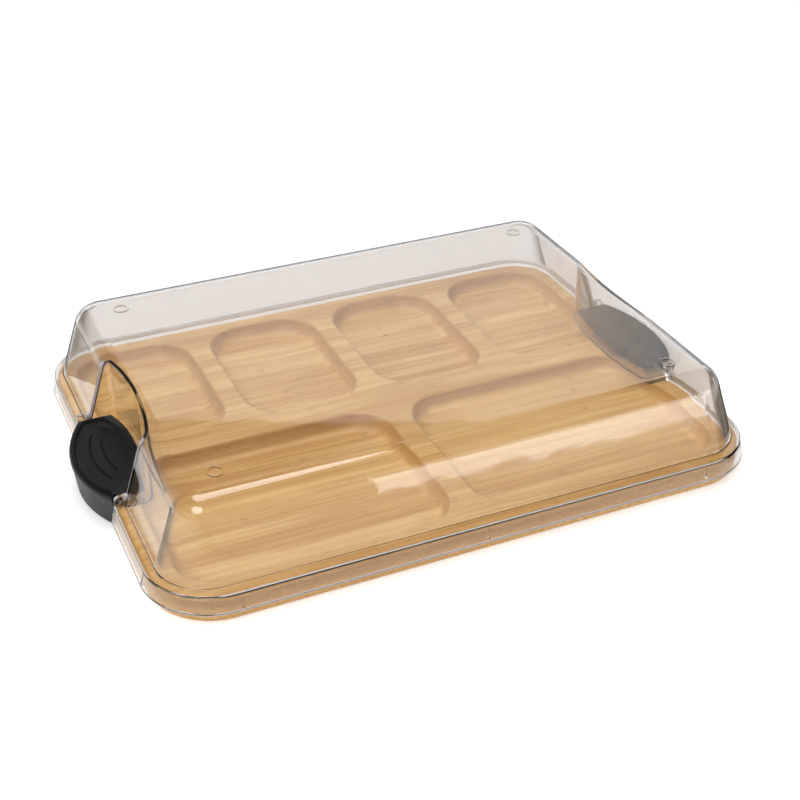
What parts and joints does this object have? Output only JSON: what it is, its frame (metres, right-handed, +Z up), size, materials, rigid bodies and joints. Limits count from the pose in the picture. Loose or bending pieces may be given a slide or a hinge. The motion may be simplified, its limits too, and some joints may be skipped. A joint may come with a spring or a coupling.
{
  "type": "chip and dip server",
  "caption": "Rounded rectangular bamboo serving board with recessed wells, a clear domed lid with a finger niche in each end, and a black rocker latch at each end that hooks under the board.",
  "frame": {"origin": "centre of the board's underside, on the surface that it stands on", "axes": "+X along the long side towards one latch, +Y towards the row of small wells, +Z up"},
  "size_m": [0.4438, 0.3274, 0.072],
  "materials": {
    "bamboo": "satin oiled bamboo",
    "clear_lid": "clear, slightly smoky, polished",
    "latch_plastic": "fine matte",
    "grip_rubber": "soft matte",
    "pin_steel": "drawn steel",
    "spring_steel": "spring wire"
  },
  "bodies": {
    "tray": {"tray_board": "bamboo"},
    "lid": {"lid_shell": "clear_lid", "hinge_pin_left": "pin_steel", "hinge_pin_right": "pin_steel"},
    "latch_left": {"latch_lever_left": "latch_plastic", "grip_plate_left": "grip_rubber", "torsion_spring_left": "spring_steel"},
    "latch_right": {"latch_lever_right": "latch_plastic", "grip_plate_right": "grip_rubber", "torsion_spring_right": "spring_steel"}
  },
  "joints": [
    {"name": "lid_lift", "type": "slide", "parent": "tray", "child": "lid", "axis": [0, 0, 1], "range_m": [0, 0.15]},
    {"name": "latch_left_press", "type": "hinge", "parent": "lid", "child": "latch_left", "pos_m": [-0.203, 0, 0.0228], "axis": [0, 1, 0], "range_deg": [0, 10], "stiffness_Nm_per_rad": 0.25, "springref_deg": -20.05},
    {"name": "latch_right_press", "type": "hinge", "parent": "lid", "child": "latch_right", "pos_m": [0.203, 0, 0.0228], "axis": [0, -1, 0], "range_deg": [0, 10], "stiffness_Nm_per_rad": 0.25, "springref_deg": -20.05}
  ]
}
